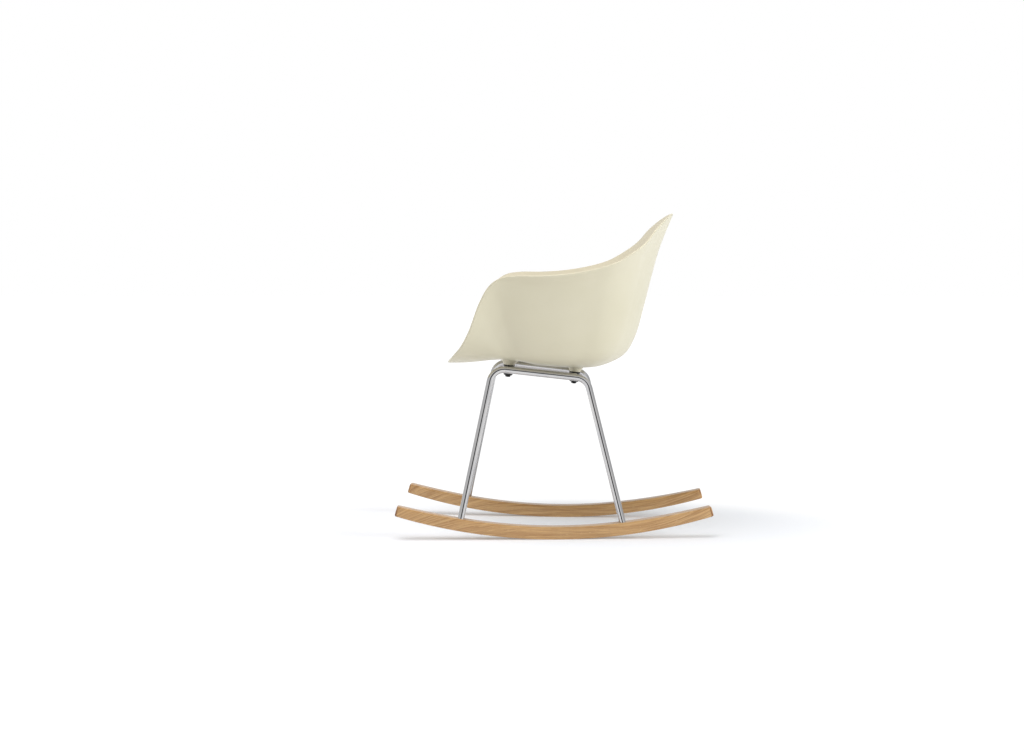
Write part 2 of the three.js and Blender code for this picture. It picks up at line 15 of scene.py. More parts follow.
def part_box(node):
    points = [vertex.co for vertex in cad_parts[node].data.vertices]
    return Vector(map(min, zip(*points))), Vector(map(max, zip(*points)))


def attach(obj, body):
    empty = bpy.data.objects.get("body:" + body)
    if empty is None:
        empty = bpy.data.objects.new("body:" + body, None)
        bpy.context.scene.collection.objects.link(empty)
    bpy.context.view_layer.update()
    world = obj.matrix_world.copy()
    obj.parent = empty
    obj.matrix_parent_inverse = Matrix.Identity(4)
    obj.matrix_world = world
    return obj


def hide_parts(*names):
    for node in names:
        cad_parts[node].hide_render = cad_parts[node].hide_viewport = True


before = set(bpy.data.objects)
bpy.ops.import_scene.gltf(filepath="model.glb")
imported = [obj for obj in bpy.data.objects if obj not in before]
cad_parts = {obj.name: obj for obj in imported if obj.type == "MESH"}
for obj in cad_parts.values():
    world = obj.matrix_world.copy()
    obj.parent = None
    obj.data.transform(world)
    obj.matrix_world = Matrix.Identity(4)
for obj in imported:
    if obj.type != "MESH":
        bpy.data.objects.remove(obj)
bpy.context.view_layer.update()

MM = 0.001

# ---------------------------------------------------------------- driving values, as in the CAD part

TOUCH_GAP = 0.3

ROCKER_RADIUS = 1420.0
ROCKER_REACH = 409.5
ROCKER_WIDTH = 34.0
ROCKER_DEPTH_MIDDLE = 32.0
ROCKER_DEPTH_END = 25.5
ROCKER_EDGE = 2.5
ROCKER_END_ROUND = 3.5
ROCKER_END_TAPER = 10.0
ROCKER_END_NARROW = 5.0
ROCKER_OFFSET = 183.0
ROCKER_SPLAY = 0.0645
ROCKER_CONTACT = 8.7

TUBE_RADIUS = 8.75
TUBE_WALL = 2.0
FRAME_BEND_RADIUS = 37.0
FRONT_FOOT = (198.5, -239.5)
REAR_FOOT = (171.8, 174.7)
FRONT_CORNER = (134.7, -160.0)
REAR_CORNER = (125.3, 83.0)
TOP_HEIGHT = 416.5
TOP_FALL = 0.1125
RING_FRONT = -120.0
RING_REAR = 52.0
RING_CORNER_RADIUS = 22.0
SOCKET_DEPTH = 9.0

ROD_RADIUS = 3.0
ROD_BEND_RADIUS = 12.0
ROD_TAIL = 50.0
FRONT_ROD_HEIGHT = 325.0
REAR_ROD_HEIGHT = 307.0

ROD_WELD_RADIUS = 1.3
ROD_WELD_REACH = 9.0
ROD_WELD_PLACE = 0.62
RING_WELD_RADIUS = 2.0
RING_WELD_RUNS = (("front", -96, -62), ("rear", -6, 28))

FRONT_BOLT_OUT = 94.0
REAR_BOLT_OUT = 60.3
BOLT_RADIUS = 3.0
BOLT_HEAD_ACROSS = 12.0
BOLT_HEAD_HEIGHT = 3.0
BOLT_DOME_HEIGHT = 1.2
BOLT_FLANGE_RADIUS = 7.5
BOLT_FLANGE_HEIGHT = 1.0
SADDLE_RADIUS = 14.0
SADDLE_RISE = 1.8
SADDLE_FLANGE_HEIGHT = 3.0
CLAMP_RADIUS = 12.5
CUP_DEPTH = 7.0
CUP_TAPER = 1.0
INSERT_RADIUS = 4.5
INSERT_LENGTH = 8.0
INSERT_SINK = 1.0
INSERT_FLANGE = 1.0
BOSS_RADIUS_LOW = 14.0
BOSS_RADIUS_HIGH = 21.0
BOSS_FILLET = 6.0
BOSS_SINK = 0.5
FRONT_BOSS_HEIGHT = 13.7
REAR_BOSS_HEIGHT = 16.2
SCREW_RADIUS = 3.0
SCREW_HEAD_RADIUS = 5.5
SCREW_HEAD_HEIGHT = 3.2
SCREW_REACH = 14.0
WOOD_UNDER_LEG = {"front": 13.0, "rear": 11.0}

SHELL_THICKNESS = 5.0
SHELL_CENTRE = 20.0
SHELL_BOTTOM = 436.5
SHELL_SWELL_START = 60.0
SHELL_FRONT_RISE = 9.0
SHELL_SWELL = 16.0
SHELL_ROUND_STEPS = 264
SHELL_WALL_STEPS = 66
SHELL_EDGE_STEPS = 7
SHELL_CALM_SHARE = 0.5
SHELL_CALM = 0.35

# The rim from the middle of the front lip to the middle of the back: (out, along, up)
RIM = [
    (0, -280, 445.5), (70, -279, 447), (125, -274, 453.5), (176, -262, 467), (216, -240, 493),
    (244, -217, 535), (268, -188, 610), (284, -163, 651), (295, -137, 669), (302.5, -100, 675.5),
    (304.5, -33, 676), (299, 33, 681), (287, 97, 692), (275, 151, 708), (255, 191, 730),
    (218, 230, 759), (176, 257, 791.5), (122, 281, 815), (62, 300, 829.5), (0, 309, 834),
]

# Sections of the tub by direction round it: shares of the way out and of the way up to the rim
SECTIONS = [
    (-90, [(0, 0), (0.2, 0), (0.38, 0.03), (0.55, 0.1), (0.67, 0.22), (0.75, 0.35), (0.84, 0.55),
           (0.92, 0.77), (1, 1)]),
    (-60, [(0, 0), (0.2, 0.02), (0.38, 0.06), (0.56, 0.14), (0.68, 0.26), (0.76, 0.4), (0.84, 0.58),
           (0.92, 0.79), (1, 1)]),
    (-45, [(0, 0), (0.2, 0), (0.4, 0.015), (0.61, 0.09), (0.71, 0.21), (0.785, 0.38), (0.855, 0.59),
           (0.925, 0.81), (1, 1)]),
    (-33, [(0, 0), (0.2, 0), (0.4, 0.005), (0.605, 0.09), (0.69, 0.22), (0.77, 0.43), (0.84, 0.66),
           (0.92, 0.87), (1, 1)]),
    (-8, [(0, 0), (0.2, 0), (0.38, 0.006), (0.573, 0.094), (0.665, 0.23), (0.742, 0.455),
          (0.808, 0.68), (0.89, 0.87), (1, 1)]),
    (45, [(0, 0), (0.2, 0), (0.38, 0.004), (0.56, 0.085), (0.662, 0.215), (0.74, 0.42),
          (0.806, 0.63), (0.885, 0.82), (1, 1)]),
    (90, [(0, 0), (0.2, -0.003), (0.36, 0.001), (0.555, 0.066), (0.66, 0.19), (0.735, 0.381),
          (0.803, 0.58), (0.881, 0.782), (1, 1)]),
]

SIDES = (("left", 1), ("right", -1))


# ---------------------------------------------------------------- vectors and curves

def vec(x, y, z):
    return np.array((x, y, z), float)


def unit(v):
    return v / np.linalg.norm(v)


def mirrored(point, sign):
    return point * vec(sign, 1, 1)


def turned(v, axis, angle):
    """v turned about a unit axis"""
    return (v * math.cos(angle) + np.cross(axis, v) * math.sin(angle)
            + axis * np.dot(axis, v) * (1 - math.cos(angle)))


def catmull(p0, p1, p2, p3, t):
    """Uniform Catmull-Rom between p1 and p2"""
    v0, v1 = (p2 - p0) / 2, (p3 - p1) / 2
    return (2 * p1 - 2 * p2 + v0 + v1) * t ** 3 + (-3 * p1 + 3 * p2 - 2 * v0 - v1) * t ** 2 + v0 * t + p1


def spline_point(points, t):
    """A point at share t of an open Catmull-Rom spline"""
    last = len(points) - 1
    place = t * last
    i = min(int(place), last - 1)
    return catmull(points[max(i - 1, 0)], points[i], points[i + 1], points[min(i + 2, last)], place - i)


def closed_centripetal(points, samples=60):
    """Points along a closed centripetal Catmull-Rom curve"""
    count = len(points)
    out = []
    for i in range(count):
        p0, p1, p2, p3 = (points[(i + k) % count] for k in (-1, 0, 1, 2))
        d0, d1, d2 = (math.sqrt(np.linalg.norm(b - a)) for a, b in ((p0, p1), (p1, p2), (p2, p3)))
        m1 = ((p1 - p0) / d0 - (p2 - p0) / (d0 + d1) + (p2 - p1) / d1) * d1
        m2 = ((p2 - p1) / d1 - (p3 - p1) / (d1 + d2) + (p3 - p2) / d2) * d1
        for t in np.arange(samples) / samples:
            out.append(p1 + m1 * t + (-3 * p1 + 3 * p2 - 2 * m1 - m2) * t ** 2
                       + (2 * p1 - 2 * p2 + m1 + m2) * t ** 3)
    return np.array(out)


def evenly_spaced(loop, count):
    """count points equally far apart along a closed run of points"""
    closed = np.vstack([loop, loop[:1]])
    run = np.concatenate([[0], np.cumsum(np.linalg.norm(np.diff(closed, axis=0), axis=1))])
    places = np.arange(count) / count * run[-1]
    return np.stack([np.interp(places, run, closed[:, k]) for k in range(3)], 1)


def bent_route(corners, radius, closed=False, steps=14):
    """Stations (point, tangent) of straight runs joined by round bends"""
    stations = []
    count = len(corners)
    for i, corner in enumerate(corners):
        if not closed and i in (0, count - 1):
            other = corners[1] if i == 0 else corners[count - 2]
            stations.append((corner, unit(other - corner if i == 0 else corner - other)))
            continue
        arriving = unit(corner - corners[i - 1])
        leaving = unit(corners[(i + 1) % count] - corner)
        turn = math.acos(np.clip(np.dot(arriving, leaving), -1, 1))
        start = corner - arriving * radius * math.tan(turn / 2)
        axis = unit(np.cross(arriving, leaving))
        inward = np.cross(axis, arriving)
        for step in range(steps + 1):
            angle = turn * step / steps
            point = start + inward * radius - turned(inward, axis, angle) * radius
            stations.append((point, turned(arriving, axis, angle)))
    return stations


# ---------------------------------------------------------------- meshes

def mesh_object(name, points, faces, smooth_angle=35.0):
    """A mesh object from points in millimetres, with its normals outwards and smooth shading"""
    mesh = bpy.data.meshes.new(name)
    mesh.from_pydata([tuple(p) for p in np.asarray(points) * MM], [], faces)
    form = bmesh.new()
    form.from_mesh(mesh)
    bmesh.ops.recalc_face_normals(form, faces=form.faces)
    form.to_mesh(mesh)
    form.free()
    piece = bpy.data.objects.new(name, mesh)
    bpy.context.scene.collection.objects.link(piece)
    shade(piece, smooth_angle)
    return piece


def shade(piece, smooth_angle):
    mesh = piece.data
    mesh.polygons.foreach_set("use_smooth", [True] * len(mesh.polygons))
    mesh.set_sharp_from_angle(angle=math.radians(smooth_angle))


def combine(piece, other, operation, smooth_angle=35.0):
    """Joins, cuts or intersects a piece with another closed mesh, which is then gone"""
    step = piece.modifiers.new("combine", "BOOLEAN")
    step.operation = operation
    step.object = other
    step.solver = "EXACT"
    graph = bpy.context.evaluated_depsgraph_get()
    made = bpy.data.meshes.new_from_object(piece.evaluated_get(graph))
    piece.modifiers.clear()
    piece.data = made
    bpy.data.objects.remove(other)
    shade(piece, smooth_angle)
    return piece


def ring_faces(first, second, count):
    """Quads between two rings of points that start at these indices"""
    return [(first + i, first + (i + 1) % count, second + (i + 1) % count, second + i)
            for i in range(count)]


def frame_across(tangent, near=None):
    """Two unit vectors square to a tangent; the first as near as possible to another"""
    hint = near if near is not None else (vec(0, 0, 1) if abs(tangent[2]) < 0.9 else vec(1, 0, 0))
    side = unit(hint - tangent * np.dot(hint, tangent))
    return side, np.cross(tangent, side)


def carried_rings(stations, radii, sides, side=None, twist=0.0):
    """Rings of points round a route and the last side, with a twist shared out along the route"""
    rings = []
    for share, (point, tangent), radius in zip(np.linspace(0, 1, len(stations)), stations, radii):
        side, up = frame_across(tangent, side)
        angles = 2 * math.pi * np.arange(sides) / sides - twist * share
        rings.append(point + radius * (np.outer(np.cos(angles), side) + np.outer(np.sin(angles), up)))
    return rings, side


def swept_rings(stations, radii, sides, closed=False):
    """Rings of points round a route; on a closed one the last ring meets the first"""
    rings, side = carried_rings(stations, radii, sides)
    if closed:
        start, up = frame_across(stations[0][1])
        twist = math.atan2(np.dot(side, up), np.dot(side, start))
        rings, _ = carried_rings(stations, radii, sides, start, twist)
    return rings


def hollow_tube(name, stations, radius, bore, sides=48):
    """An open-ended tube along a route"""
    outer = swept_rings(stations, [radius] * len(stations), sides)
    inner = swept_rings(stations, [bore] * len(stations), sides)
    rings = outer + inner[::-1]
    faces = []
    for k in range(len(rings)):
        faces += ring_faces(k * sides, (k + 1) % len(rings) * sides, sides)
    return mesh_object(name, np.vstack(rings), faces)


def solid_rod(name, stations, radii, sides=32):
    """A solid rod along a route, closed at both ends"""
    rings = swept_rings(stations, radii, sides)
    points = np.vstack(rings + [[stations[0][0], stations[-1][0]]])
    faces = []
    for k in range(len(rings) - 1):
        faces += ring_faces(k * sides, (k + 1) * sides, sides)
    first, last = len(points) - 2, len(points) - 1
    end = (len(rings) - 1) * sides
    faces += [(first, i, (i + 1) % sides) for i in range(sides)]
    faces += [(last, end + i, end + (i + 1) % sides) for i in range(sides)]
    return mesh_object(name, points, faces)


def ring_tube(name, stations, radius, sides=48):
    """A tube bent into a closed ring"""
    loop = stations + stations[:1]
    rings = swept_rings(loop, [radius] * len(loop), sides, closed=True)[:-1]
    faces = []
    for k in range(len(rings)):
        faces += ring_faces(k * sides, (k + 1) % len(rings) * sides, sides)
    return mesh_object(name, np.vstack(rings), faces)


def turned_form(name, base, axis, profile, sides=64, across_flats=None, smooth_angle=35.0):
    """A closed turned form about an axis from (radius, height) pairs, which start and end at radius 0.

    Where across_flats is given for a pair, the ring there is cut to a hexagon of that size."""
    e1, e2 = frame_across(axis, vec(1, 0, 0))
    angles = 2 * math.pi * np.arange(sides) / sides
    directions = np.outer(np.cos(angles), e1) + np.outer(np.sin(angles), e2)
    flat = np.cos((angles + math.pi / 6) % (math.pi / 3) - math.pi / 6)
    flats = across_flats or [None] * len(profile)
    points = [base + axis * profile[0][1]]
    faces = []
    rings = profile[1:-1]
    for (radius, height), across in zip(rings, flats[1:-1]):
        reach = np.full(sides, radius) if across is None else np.minimum(radius, across / 2 / flat)
        points.extend(base + axis * height + directions * reach[:, None])
    for k in range(len(rings) - 1):
        faces += ring_faces(1 + k * sides, 1 + (k + 1) * sides, sides)
    points.append(base + axis * profile[-1][1])
    last, end = len(points) - 1, 1 + (len(rings) - 1) * sides
    faces += [(0, 1 + i, 1 + (i + 1) % sides) for i in range(sides)]
    faces += [(last, end + (i + 1) % sides, end + i) for i in range(sides)]
    return mesh_object(name, points, faces, smooth_angle)


def drill(base, axis, low, high, radius):
    """A plain round cutter"""
    return turned_form("drill", base, axis, [(0, low), (radius, low), (radius, high), (0, high)], 48)


def kept_inside(piece, node):
    """Holds a piece in the box of the CAD node it stands for"""
    low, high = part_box(node)
    places = np.zeros(len(piece.data.vertices) * 3)
    piece.data.vertices.foreach_get("co", places)
    held = np.clip(places.reshape(-1, 3), np.array(low), np.array(high))
    piece.data.vertices.foreach_set("co", held.ravel())
    piece.data.update()


def finish_piece(piece, materials, slot, *nodes):
    """Gives a piece its materials and ties it to the frame"""
    for index, material in enumerate(materials):
        if index < len(piece.data.materials):
            piece.data.materials[index] = material
        else:
            piece.data.materials.append(material)
    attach(piece, "root")
    if nodes:
        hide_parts(*nodes)
    return piece


# ---------------------------------------------------------------- material nodes

def add(tree, kind, inputs=None, **settings):
    """A node with its settings and inputs: numbers are set, sockets are linked"""
    node = tree.nodes.new(kind)
    for key, value in settings.items():
        setattr(node, key, value)
    for key, value in (inputs or {}).items():
        if isinstance(value, bpy.types.NodeSocket):
            tree.links.new(value, node.inputs[key])
        else:
            node.inputs[key].default_value = value
    return node


def math_node(tree, operation, a, b=0.0):
    return add(tree, "ShaderNodeMath", {0: a, 1: b}, operation=operation).outputs[0]


def scaled(tree, vector, factors):
    return add(tree, "ShaderNodeVectorMath", {0: vector, 1: factors}, operation="MULTIPLY").outputs[0]


def noise(tree, vector, scale, detail=3.0, roughness=0.5, distortion=0.0):
    return add(tree, "ShaderNodeTexNoise", {
        "Vector": vector, "Scale": scale, "Detail": detail, "Roughness": roughness,
        "Distortion": distortion}).outputs["Fac"]


def remap(tree, value, low, high, to_low=0.0, to_high=1.0):
    return add(tree, "ShaderNodeMapRange", {
        "Value": value, "From Min": low, "From Max": high, "To Min": to_low, "To Max": to_high},
        interpolation_type="SMOOTHSTEP").outputs[0]


def mix(tree, factor, a, b):
    node = add(tree, "ShaderNodeMix", data_type="RGBA", blend_type="MIX")
    for socket, value in ((node.inputs[0], factor), (node.inputs[6], a), (node.inputs[7], b)):
        if isinstance(value, bpy.types.NodeSocket):
            tree.links.new(value, socket)
        else:
            socket.default_value = value
    return node.outputs[2]


def bump(tree, height, distance, strength=1.0, normal=None):
    inputs = {"Height": height, "Distance": distance, "Strength": strength}
    if normal is not None:
        inputs["Normal"] = normal
    return add(tree, "ShaderNodeBump", inputs).outputs[0]


def linear(red, green, blue):
    """A colour given as it appears on screen, 0 to 255"""
    return (*((c / 255 / 12.92 if c / 255 <= 0.04045 else ((c / 255 + 0.055) / 1.055) ** 2.4)
              for c in (red, green, blue)), 1.0)


def new_material(name, **fixed):
    """A material, its tree, its shader and the place coordinates; fixed values go on the shader itself"""
    material = bpy.data.materials.new(name)
    material.use_nodes = True
    tree = material.node_tree
    shader = tree.nodes["Principled BSDF"]
    for key, value in fixed.items():
        shader.inputs[key.replace("_", " ")].default_value = value
    place = add(tree, "ShaderNodeTexCoord").outputs["Object"]
    return material, tree, shader, place


def drive(tree, shader, **sockets):
    for key, value in sockets.items():
        tree.links.new(value, shader.inputs[key.replace("_", " ")])


def plastic_material():
    """Moulded polypropylene: an even fine grain, faint clouding and slow waves from the mould"""
    material, tree, shader, place = new_material("moulded_cream", IOR=1.49)
    cloud = noise(tree, place, 9.0, 4.0, 0.55)
    speck = noise(tree, place, 900.0, 2.0, 0.6)
    tone = mix(tree, remap(tree, cloud, 0.3, 0.7), linear(203, 197, 173), linear(205, 199, 176))
    tone = mix(tree, remap(tree, speck, 0.62, 0.8, 0.0, 0.12), tone, linear(196, 189, 164))
    grain = noise(tree, place, 1300.0, 3.0, 0.6)
    waves = noise(tree, place, 14.0, 2.0, 0.4)
    rough = remap(tree, noise(tree, place, 60.0, 3.0, 0.6), 0.3, 0.7, 0.36, 0.44)
    relief = bump(tree, grain, 0.00002, 0.4, bump(tree, waves, 0.0008, 0.3))
    drive(tree, shader, Base_Color=tone, Roughness=rough, Normal=relief)
    return material


def chrome_material():
    """Bright chrome plate: near-mirror, with faint polishing haze"""
    material, tree, shader, place = new_material("chrome_plate", Metallic=1.0)
    haze = noise(tree, place, 220.0, 4.0, 0.6)
    film = noise(tree, place, 18.0, 3.0, 0.5)
    tone = mix(tree, remap(tree, film, 0.35, 0.65), linear(196, 196, 198), linear(204, 203, 203))
    rough = remap(tree, haze, 0.35, 0.7, 0.045, 0.1)
    relief = bump(tree, noise(tree, place, 420.0, 2.0, 0.5), 0.00004, 0.25)
    drive(tree, shader, Base_Color=tone, Roughness=rough, Normal=relief)
    return material


def black_material(name, low, high, rough_low, rough_high, grain_scale, relief_depth, **fixed):
    """A black finish with an even grain: moulded nylon or blackened steel"""
    material, tree, shader, place = new_material(name, **fixed)
    grain = noise(tree, place, grain_scale, 3.0, 0.6)
    cloud = noise(tree, place, 140.0, 3.0, 0.5)
    tone = mix(tree, remap(tree, cloud, 0.3, 0.7), low, high)
    rough = remap(tree, cloud, 0.3, 0.7, rough_low, rough_high)
    drive(tree, shader, Base_Color=tone, Roughness=rough, Normal=bump(tree, grain, relief_depth, 0.5))
    return material


def plated_material(name, light, dark, rough_low, rough_high):
    """Turned and plated metal with fine tool marks and patches of tarnish"""
    material, tree, shader, place = new_material(name, Metallic=1.0)
    marks = noise(tree, scaled(tree, place, (1.0, 1.0, 14.0)), 160.0, 3.0, 0.6)
    patches = noise(tree, place, 130.0, 4.0, 0.6)
    tone = mix(tree, remap(tree, patches, 0.35, 0.68), light, dark)
    rough = remap(tree, marks, 0.3, 0.7, rough_low, rough_high)
    drive(tree, shader, Base_Color=tone, Roughness=rough, Normal=bump(tree, marks, 0.00005, 0.4))
    return material


def oak_grain_place(tree, place):
    """Place coordinates that follow the grain, which runs along the chair and climbs near both ends"""
    parts = add(tree, "ShaderNodeSeparateXYZ", {0: place})
    along = parts.outputs["Y"]
    steepness = math_node(tree, "POWER", math_node(tree, "ABSOLUTE", along), 3.0)
    climb = math_node(tree, "MULTIPLY", math_node(tree, "MULTIPLY", steepness, 1.15),
                      math_node(tree, "SIGN", along))
    wander = math_node(tree, "MULTIPLY", noise(tree, scaled(tree, place, (14.0, 5.0, 8.0)), 1.0, 2.0), 0.018)
    height = math_node(tree, "SUBTRACT", parts.outputs["Z"], math_node(tree, "ADD", climb, wander))
    return add(tree, "ShaderNodeCombineXYZ", {
        "X": parts.outputs["X"], "Y": along, "Z": height}).outputs[0]


def oak_material():
    """Oiled and lacquered oak seen along the grain: growth bands, fine fibres, dark pores and pale rays"""
    material, tree, shader, place = new_material(
        "oak_along", IOR=1.5, Coat_Weight=0.6, Coat_Roughness=0.16)
    grain = oak_grain_place(tree, place)
    bands = noise(tree, scaled(tree, grain, (70.0, 7.0, 230.0)), 1.0, 4.0, 0.6, 0.5)
    lines = noise(tree, scaled(tree, grain, (90.0, 8.0, 400.0)), 1.0, 3.0, 0.6, 0.3)
    fibres = noise(tree, scaled(tree, grain, (400.0, 22.0, 1300.0)), 1.0, 4.0, 0.65)
    pores = noise(tree, scaled(tree, grain, (900.0, 60.0, 1700.0)), 1.0, 2.0, 0.5)
    rays = noise(tree, scaled(tree, grain, (420.0, 80.0, 420.0)), 1.0, 2.0, 0.5)
    slow = noise(tree, scaled(tree, place, (3.0, 5.0, 6.0)), 1.0, 2.0)
    tone = mix(tree, remap(tree, bands, 0.3, 0.7), linear(154, 113, 66), linear(206, 168, 115))
    tone = mix(tree, remap(tree, slow, 0.3, 0.7, 0.0, 0.4), tone, linear(192, 148, 92))
    tone = mix(tree, remap(tree, lines, 0.5, 0.66, 0.0, 0.55), tone, linear(150, 106, 58))
    tone = mix(tree, remap(tree, lines, 0.44, 0.3, 0.0, 0.35), tone, linear(226, 194, 140))
    tone = mix(tree, remap(tree, fibres, 0.3, 0.7, 0.0, 0.3), tone, linear(160, 116, 66))
    tone = mix(tree, remap(tree, rays, 0.64, 0.76, 0.0, 0.35), tone, linear(228, 198, 148))
    holes = remap(tree, pores, 0.6, 0.74)
    tone = mix(tree, math_node(tree, "MULTIPLY", holes, 0.5), tone, linear(112, 74, 38))
    rough = math_node(tree, "ADD", remap(tree, fibres, 0.3, 0.7, 0.34, 0.44),
                      math_node(tree, "MULTIPLY", holes, 0.15))
    relief = bump(tree, holes, -0.00012, 0.6, bump(tree, fibres, 0.00006, 0.5))
    drive(tree, shader, Base_Color=tone, Roughness=rough, Normal=relief)
    return material


def oak_end_material():
    """Oak cut across the grain: upright growth rings with rows of open pores"""
    material, tree, shader, place = new_material(
        "oak_across", IOR=1.5, Coat_Weight=0.3, Coat_Roughness=0.3)
    rings = noise(tree, scaled(tree, place, (300.0, 40.0, 35.0)), 1.0, 2.0, 0.5, 0.4)
    pores = add(tree, "ShaderNodeTexVoronoi", {
        "Vector": scaled(tree, place, (1.0, 1.0, 0.8)), "Scale": 1400.0}, feature="F1").outputs["Distance"]
    tone = mix(tree, remap(tree, rings, 0.35, 0.65), linear(128, 88, 52), linear(182, 140, 92))
    open_pore = math_node(tree, "MULTIPLY", remap(tree, pores, 0.32, 0.18), remap(tree, rings, 0.6, 0.4))
    tone = mix(tree, math_node(tree, "MULTIPLY", open_pore, 0.6), tone, linear(92, 60, 30))
    rough = remap(tree, rings, 0.3, 0.7, 0.5, 0.6)
    drive(tree, shader, Base_Color=tone, Roughness=rough, Normal=bump(tree, open_pore, -0.00015, 0.6))
    return material


plastic = plastic_material()
chrome = chrome_material()
nylon = black_material("black_moulded", linear(17, 17, 18), linear(26, 26, 27), 0.42, 0.55, 1500.0, 0.00012,
                       IOR=1.53)
dark_steel = black_material("black_oxide", linear(24, 24, 26), linear(38, 37, 38), 0.28, 0.42, 700.0, 0.00005,
                            Metallic=0.75)
brass = plated_material("turned_brass", linear(205, 170, 100), linear(176, 138, 74), 0.22, 0.38)
zinc = plated_material("zinc_plate", linear(196, 198, 202), linear(164, 166, 170), 0.25, 0.42)
oak = oak_material()
oak_end = oak_end_material()


# ---------------------------------------------------------------- places that the pieces share

FRONT_END = math.asin((-ROCKER_REACH - ROCKER_CONTACT) / ROCKER_RADIUS)
REAR_END = math.asin((ROCKER_REACH - ROCKER_CONTACT) / ROCKER_RADIUS)


def top_height(along):
    return TOP_HEIGHT - TOP_FALL * along


def rocker_depth(angle):
    share = (2 * angle - FRONT_END - REAR_END) / (REAR_END - FRONT_END)
    return ROCKER_DEPTH_MIDDLE + (ROCKER_DEPTH_END - ROCKER_DEPTH_MIDDLE) * share ** 4


def rocker_point(angle, lift):
    radius = ROCKER_RADIUS - lift
    return ROCKER_CONTACT + radius * math.sin(angle), ROCKER_RADIUS - radius * math.cos(angle)


def make_leg(name, foot, corner):
    """The points and the axis of a leg on the sitter's left"""
    angle = math.asin((foot[1] - ROCKER_CONTACT) / ROCKER_RADIUS)
    low = vec(*foot, rocker_point(angle, rocker_depth(angle))[1])
    high = vec(*corner, top_height(corner[1]))
    axis = unit(high - low)
    return {"name": name, "foot": low, "corner": high, "axis": axis,
            "end": low + axis * (TOUCH_GAP - SOCKET_DEPTH)}


FRONT_LEG = make_leg("front", FRONT_FOOT, FRONT_CORNER)
REAR_LEG = make_leg("rear", REAR_FOOT, REAR_CORNER)
RING_UP = unit(vec(0, TOP_FALL, 1))


def ring_out(along):
    share = (along - FRONT_CORNER[1]) / (REAR_CORNER[1] - FRONT_CORNER[1])
    return FRONT_CORNER[0] + share * (REAR_CORNER[0] - FRONT_CORNER[0]) - 2 * TUBE_RADIUS - TOUCH_GAP


BOLTS = [
    {"name": f"{end}_{side}", "boss": boss, "at": vec(sign * out, along, top_height(along))}
    for end, along, out, boss in (("front", RING_FRONT, FRONT_BOLT_OUT, FRONT_BOSS_HEIGHT),
                                  ("rear", RING_REAR, REAR_BOLT_OUT, REAR_BOSS_HEIGHT))
    for side, sign in SIDES
]
BOSS_LOW = TUBE_RADIUS + SADDLE_RISE + TOUCH_GAP
INSERT_LOW = BOSS_LOW + INSERT_SINK
INSERT_HIGH = INSERT_LOW + INSERT_LENGTH


# ---------------------------------------------------------------- seat shell

def section_at(turn):
    nxt = max(1, next(i for i, (angle, _) in enumerate(SECTIONS) if angle >= turn - 1e-9))
    around = [SECTIONS[min(max(i, 0), len(SECTIONS) - 1)] for i in range(nxt - 2, nxt + 2)]
    share = (turn - around[1][0]) / (around[2][0] - around[1][0])
    before, low, high, after = (np.array(shape, float) for _, shape in around)
    return catmull(before, low, high, after, share)


def floor_rise(along):
    share = np.maximum(0, (SHELL_SWELL_START - along) / (SHELL_SWELL_START - RIM[0][1]))
    return SHELL_FRONT_RISE * share ** 2 + SHELL_SWELL * np.sin(math.pi * share ** 1.25) ** 2


def rib_at(rim):
    """Points in the middle of the wall, from the middle of the seat out to one rim point"""
    turn = math.degrees(math.atan2(rim[1] - SHELL_CENTRE, abs(rim[0])))
    section = section_at(turn)
    shape = np.array([spline_point(section, i / SHELL_WALL_STEPS) for i in range(SHELL_WALL_STEPS + 1)])
    out, up = shape[:, 0], shape[:, 1]
    along = SHELL_CENTRE + (rim[1] - SHELL_CENTRE) * out
    height = floor_rise(along) * (1 - up) + (rim[2] - SHELL_BOTTOM) * up
    return np.stack([rim[0] * out, along, SHELL_BOTTOM + height], 1)


def shell_middle():
    """The wall's middle surface as a grid: one rib for each direction round the tub"""
    half = [vec(*p) for p in RIM]
    loop = half + [mirrored(p, -1) for p in half[-2:0:-1]]
    rim = evenly_spaced(closed_centripetal(loop), SHELL_ROUND_STEPS)
    grid = np.array([rib_at(p) for p in rim])
    # near the middle of the seat the ribs crowd together, so their heights are evened out round it
    turns = np.fft.fftfreq(SHELL_ROUND_STEPS, 1 / SHELL_ROUND_STEPS)
    for step in range(1, SHELL_WALL_STEPS):
        calm = max(0.0, 1 - step / (SHELL_CALM_SHARE * SHELL_WALL_STEPS))
        keep = np.exp(-(turns * calm * SHELL_CALM) ** 2)
        grid[:, step, 2] = np.fft.ifft(np.fft.fft(grid[:, step, 2]) * keep).real
    return grid


